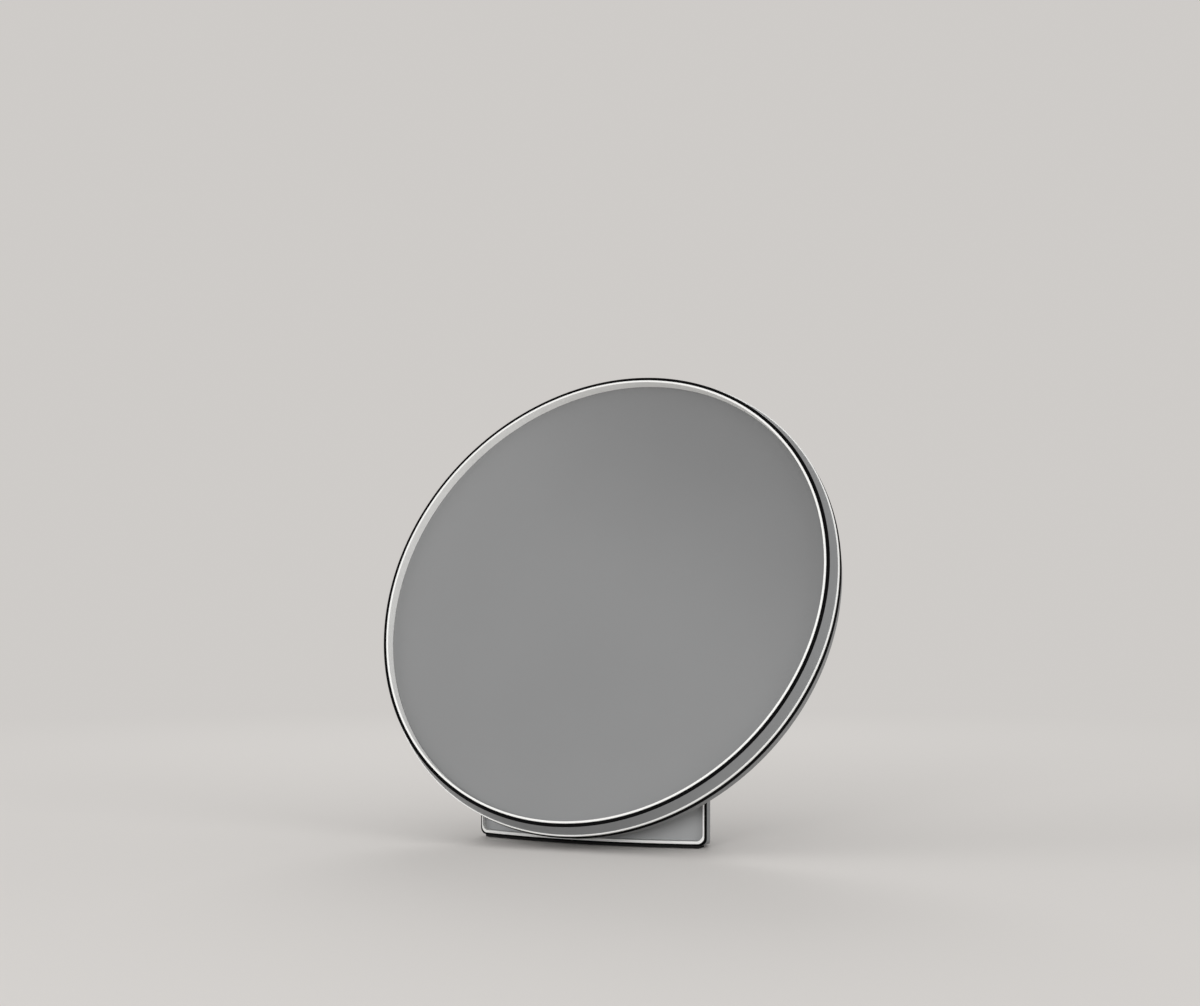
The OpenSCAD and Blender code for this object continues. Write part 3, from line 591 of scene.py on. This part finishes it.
def cut(mesh, tool):
    """Mesh with another one cut out of it."""
    body = bpy.data.objects.new("cut_body", mesh)
    knife = bpy.data.objects.new("cut_tool", tool)
    for obj in (body, knife):
        bpy.context.scene.collection.objects.link(obj)
    boolean = body.modifiers.new("cut", "BOOLEAN")
    boolean.object = knife
    boolean.solver = "EXACT"
    boolean.use_self = True
    bpy.context.view_layer.update()
    result = bpy.data.meshes.new_from_object(body.evaluated_get(bpy.context.evaluated_depsgraph_get()))
    result.name = mesh.name
    for obj in (body, knife):
        bpy.data.objects.remove(obj)
    return result


def joined(name, mesh, places):
    """One mesh of the same shape set at several frames."""
    bm = bmesh.new()
    for place in places:
        copy = mesh.copy()
        copy.transform(place)
        bm.from_mesh(copy)
        bpy.data.meshes.remove(copy)
    result = bpy.data.meshes.new(name)
    bm.to_mesh(result)
    bm.free()
    return result


# Screw heads: shares of the head's height for crown and recess, and of its radius for the cross
HEAD_CROWN = 0.35
CROSS_DEPTH = 0.6
CROSS_ARM = 0.62
CROSS_WIDTH = 0.17
SCREW_STEPS = 40
SCREW_EDGE = 0.06 * MM


def cross_screws(node):
    """Pan-head screws with a cross recess in place of a node's plain ones, heads to the back."""
    found = solids(node)
    heights = sorted({round(point.dot(BACKWARD), SAME_PLACES) for point in found[0]})
    tip, seat, top = heights[0], heights[-2], heights[-1]
    reach = radii(found[0])
    shank, head = reach[0], reach[-1]
    height = top - seat
    profile = [(0, tip - seat), (shank, tip - seat), (shank, 0), (head, 0)]
    profile += quarter_arc(head, height, head, height * HEAD_CROWN)[:-1]
    screw = turned("screw", profile + [(0, height)], SCREW_STEPS)
    arm, half, floor = head * CROSS_ARM, head * CROSS_WIDTH, height * (1 - CROSS_DEPTH)
    cross = boxes("cross", [((-arm, -half, floor), (arm, half, 2 * height)),
                            ((-half, -arm, floor), (half, arm, 2 * height))])
    places = [rear_frame(points_middle(points), seat) for points in found]
    mesh = joined(node + "_cross", cut(screw, cross), places)
    piece = add_piece(node + "_cross", mesh, slot_of[node], body_of[node], node)
    round_edges(piece, SCREW_EDGE, FINE_STEPS)


# Touch key: its dish and its edge, whose round comes within a share of the corner, and the mark in its middle
KEY_DISH = 0.4 * MM
KEY_EDGE = 0.35 * MM
KEY_TUCK = 0.3
KEY_STEPS = 96
KEY_SOFT = 0.05 * MM
DISH_STEPS = 10
MARK_RADII = (3.4 * MM, 4.1 * MM)
MARK_DOT = 0.8 * MM
MARK_H = 0.12 * MM
MARK_SOFT = 0.04 * MM
DOT_STEPS = 32


def dress_key():
    """Dished touch key with a plain ring and dot let into it."""
    low, high = along("touch_key", BACKWARD)
    place = rear_frame(centre("touch_key"), low)
    radius = half_size("touch_key").x
    height = high - low
    bowl = radius - 2 * KEY_EDGE
    tuck = KEY_EDGE * KEY_TUCK

    def dish(r):
        """Height of the dished face at a radius."""
        return height - KEY_DISH * (1 - (r / bowl) ** 2)

    profile = [(0, 0), (radius, 0), (radius, height - KEY_EDGE), (radius - tuck, height - tuck),
               (radius - KEY_EDGE, height)]
    profile += [(bowl * i / DISH_STEPS, dish(bowl * i / DISH_STEPS)) for i in range(DISH_STEPS, -1, -1)]
    key = add_turned("touch_key_dished", profile, place, "touch_lens", "touch_key", steps=KEY_STEPS)
    round_edges(key, KEY_SOFT, CHAMFER_STEPS)

    inner, outer = MARK_RADII
    profile = [(inner, dish(inner) - MARK_H), (inner, dish(inner) + MARK_H),
               (outer, dish(outer) + MARK_H), (outer, dish(outer) - MARK_H)]
    ring = add_turned("key_ring", profile, place, "grey_fascia", steps=KEY_STEPS, ring=True)
    round_edges(ring, MARK_SOFT, FINE_STEPS)

    profile = [(0, dish(0) - MARK_H), (MARK_DOT, dish(0) - MARK_H), (MARK_DOT, dish(0) + MARK_H),
               (0, dish(0) + MARK_H)]
    dot = add_turned("key_dot", profile, place, "grey_fascia", steps=DOT_STEPS)
    round_edges(dot, MARK_SOFT, FINE_STEPS)


# Power inlet: its mouth, the sleeve in its bore and the share of the pin's radius that its tip rounds off
INLET_CHAMFER = 0.6 * MM
INLET_EDGE = 0.12 * MM
SLEEVE_T = 0.15 * MM
SLEEVE_DROP = 1.6 * MM
SLEEVE_EDGE = 0.04 * MM
PIN_ROUND = 0.5
PIN_STEPS = 32


def dress_inlet():
    """Power inlet with a tapered mouth, a contact sleeve inside and a round-tipped pin."""
    low, high = along("inlet_housing", BACKWARD)
    pin_low, pin_high = along("inlet_pin", BACKWARD)
    place = rear_frame(centre("inlet_housing"), low)
    outer = half_size("inlet_housing").x
    bore = radii([vertex.co for vertex in nodes["inlet_housing"].data.vertices])[0]
    height, floor = high - low, pin_low - low
    profile = [(0, 0), (outer, 0), (outer, height), (bore + INLET_CHAMFER, height),
               (bore, height - INLET_CHAMFER), (bore, floor), (0, floor)]
    socket = add_turned("inlet_socket", profile, place, "board_black", "inlet_housing")
    round_edges(socket, INLET_EDGE)

    sleeve_top = height - SLEEVE_DROP
    profile = [(bore, floor), (bore, sleeve_top), (bore - SLEEVE_T, sleeve_top), (bore - SLEEVE_T, floor)]
    sleeve = add_turned("inlet_sleeve", profile, place, "contact", ring=True)
    round_edges(sleeve, SLEEVE_EDGE, CHAMFER_STEPS)

    pin, tip = half_size("inlet_pin").x, pin_high - low
    nose = pin * PIN_ROUND
    profile = [(0, floor), (pin, floor)] + quarter_arc(pin, tip, nose, nose) + [(0, tip)]
    add_turned("inlet_post", profile, place, "contact", "inlet_pin", steps=PIN_STEPS)


GROOVE_W = 1.2 * MM
GROOVE_PITCH = 6 * MM
GROOVE_DEPTH = 0.45 * MM
SOLE_EDGE = 0.12 * MM


def dress_sole():
    """Rubber sole with grooves across its underside."""
    low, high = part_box("rubber_sole")
    count = int((high.y - low.y) / GROOVE_PITCH)
    start = (low.y + high.y) / 2 - GROOVE_PITCH * (count - 1) / 2
    tools = []
    for i in range(count):
        y = start + i * GROOVE_PITCH
        tools.append(((low.x - GROOVE_W, y - GROOVE_W / 2, low.z - GROOVE_W),
                      (high.x + GROOVE_W, y + GROOVE_W / 2, low.z + GROOVE_DEPTH)))
    mesh = cut(clean_copy("rubber_sole"), boxes("grooves", tools))
    mesh.name = "rubber_sole_grooved"
    sole = add_piece("rubber_sole_grooved", mesh, "sole_rubber", "foot", "rubber_sole")
    round_edges(sole, SOLE_EDGE, FINE_STEPS)


add_camera()
set_world()
add_floor()
for lamp_name, (lamp_place, lamp_size, lamp_watts) in LAMPS.items():
    add_area(lamp_name, lamp_place, lamp_size, lamp_watts)
# Painted shade on the face, darker towards its upper right
add_painted_corner_shade(materials["diffuser"])
dress_nodes()
for soft_node, soft_width in EDGES.items():
    soften(soft_node, soft_width)
soften_foot()
cross_screws("cover_screws_set")
cross_screws("bracket_screws")
dress_key()
dress_inlet()
dress_sole()

bpy.context.scene.view_settings.view_transform = "Standard"
